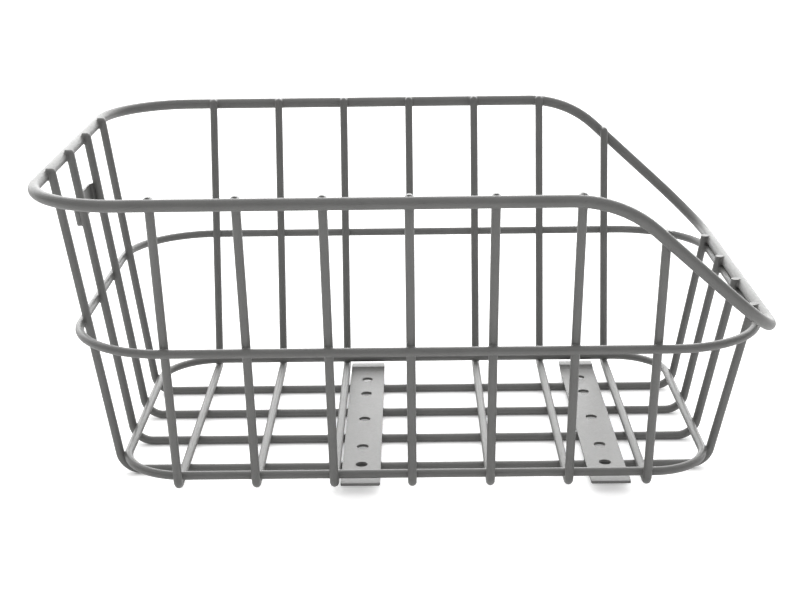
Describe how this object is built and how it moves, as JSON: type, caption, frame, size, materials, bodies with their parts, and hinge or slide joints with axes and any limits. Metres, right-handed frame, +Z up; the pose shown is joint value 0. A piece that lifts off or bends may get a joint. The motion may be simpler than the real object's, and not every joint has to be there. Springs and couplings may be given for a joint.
{
  "type": "handlebar basket",
  "caption": "Open welded wire basket: level rim over the high end, then sloping down to a low end, with drilled flat strips across the floor for bolting it to a bracket.",
  "frame": {"origin": "centre of the basket's outline seen from above, on the resting plane under the lengthwise floor wires", "axes": "+X lengthwise towards the low sloping end, +Y across the basket, +Z up"},
  "size_m": [0.366, 0.261, 0.1686],
  "materials": {
    "rim_coat": "satin grey powder coat",
    "ring_coat": "satin grey powder coat",
    "cross_wire_coat": "satin grey powder coat",
    "long_wire_coat": "satin grey powder coat",
    "strip_coat": "satin grey powder coat",
    "bracket_coat": "satin grey powder coat"
  },
  "bodies": {
    "root": {"top_rim": "rim_coat", "middle_ring": "ring_coat", "bottom_ring": "ring_coat", "cross_wire_1": "cross_wire_coat", "cross_wire_2": "cross_wire_coat", "cross_wire_3": "cross_wire_coat", "cross_wire_4": "cross_wire_coat", "cross_wire_5": "cross_wire_coat", "cross_wire_6": "cross_wire_coat", "cross_wire_7": "cross_wire_coat", "long_wire_1": "long_wire_coat", "long_wire_2": "long_wire_coat", "long_wire_3": "long_wire_coat", "long_wire_4": "long_wire_coat", "mounting_strip_left": "strip_coat", "mounting_strip_right": "strip_coat", "end_bracket": "bracket_coat"}
  },
  "joints": []
}
